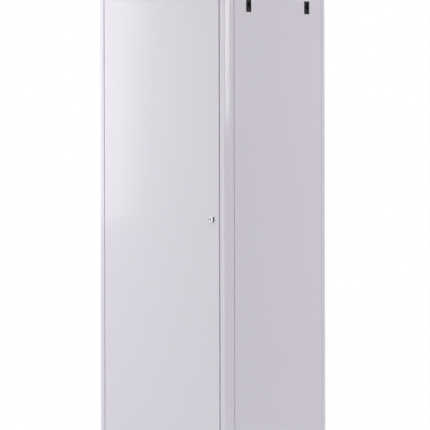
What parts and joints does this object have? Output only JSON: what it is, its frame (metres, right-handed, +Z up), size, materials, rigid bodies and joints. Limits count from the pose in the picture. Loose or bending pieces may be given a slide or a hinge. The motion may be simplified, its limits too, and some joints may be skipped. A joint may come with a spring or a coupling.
{
  "type": "locker cabinet",
  "caption": "Tall narrow steel clothes locker with a flush hinged door, cam lock, hat shelf, coat rail and plastic coat hooks",
  "frame": {"origin": "on the floor, in the middle of the locker's width and of its depth with the lock's head included", "axes": "+Z up, the door faces -Y, +X to the right of someone who faces the door"},
  "size_m": [0.418, 0.5058, 1.83],
  "materials": {
    "powder_coat": "fine textured semi-matt powder coat, pale lilac grey",
    "zinc": "bright zinc plate",
    "chrome": "polished chrome plate",
    "black_plastic": "moulded, finely grained",
    "nylon": "moulded natural nylon",
    "rubber": "matt moulded rubber"
  },
  "bodies": {
    "carcass": {"front_post_left": "powder_coat", "front_post_right": "powder_coat", "rear_post_left": "powder_coat", "rear_post_right": "powder_coat", "side_panel_left": "powder_coat", "side_panel_right": "powder_coat", "back_panel": "powder_coat", "top_panel": "powder_coat", "bottom_panel": "powder_coat", "top_rail": "powder_coat", "bottom_stop": "powder_coat", "door_stop_left": "powder_coat", "door_stop_right": "powder_coat", "hat_shelf": "powder_coat", "shelf_bracket_left": "powder_coat", "shelf_bracket_right": "powder_coat", "coat_rail": "zinc", "rail_socket_left": "black_plastic", "rail_socket_right": "black_plastic", "rail_screw_left_front": "zinc", "rail_screw_left_rear": "zinc", "rail_screw_right_front": "zinc", "rail_screw_right_rear": "zinc", "coat_hook_left_front": "black_plastic", "coat_hook_left_rear": "black_plastic", "coat_hook_right_front": "black_plastic", "coat_hook_right_rear": "black_plastic", "foot_front_left": "black_plastic", "foot_front_right": "black_plastic", "foot_rear_left": "black_plastic", "foot_rear_right": "black_plastic", "door_buffer_upper": "rubber", "door_buffer_lower": "rubber", "hinge_pin_top": "zinc", "hinge_pin_bottom": "zinc", "hinge_washer": "zinc"},
    "door": {"door_panel": "powder_coat", "door_stiffener": "powder_coat", "hinge_bush_top": "nylon", "hinge_bush_bottom": "nylon", "lock_housing": "chrome", "lock_nut": "zinc"},
    "lock_cylinder": {"lock_plug": "chrome", "lock_cam": "zinc", "cam_screw": "zinc"}
  },
  "joints": [
    {"name": "door_swing", "type": "hinge", "parent": "carcass", "child": "door", "pos_m": [-0.1822, -0.2407, 0], "axis": [0, 0, -1], "range_deg": [0, 120]},
    {"name": "lock_turn", "type": "hinge", "parent": "door", "child": "lock_cylinder", "pos_m": [0.1641, -0.2479, 0.915], "axis": [0, -1, 0], "range_deg": [0, 90]}
  ]
}
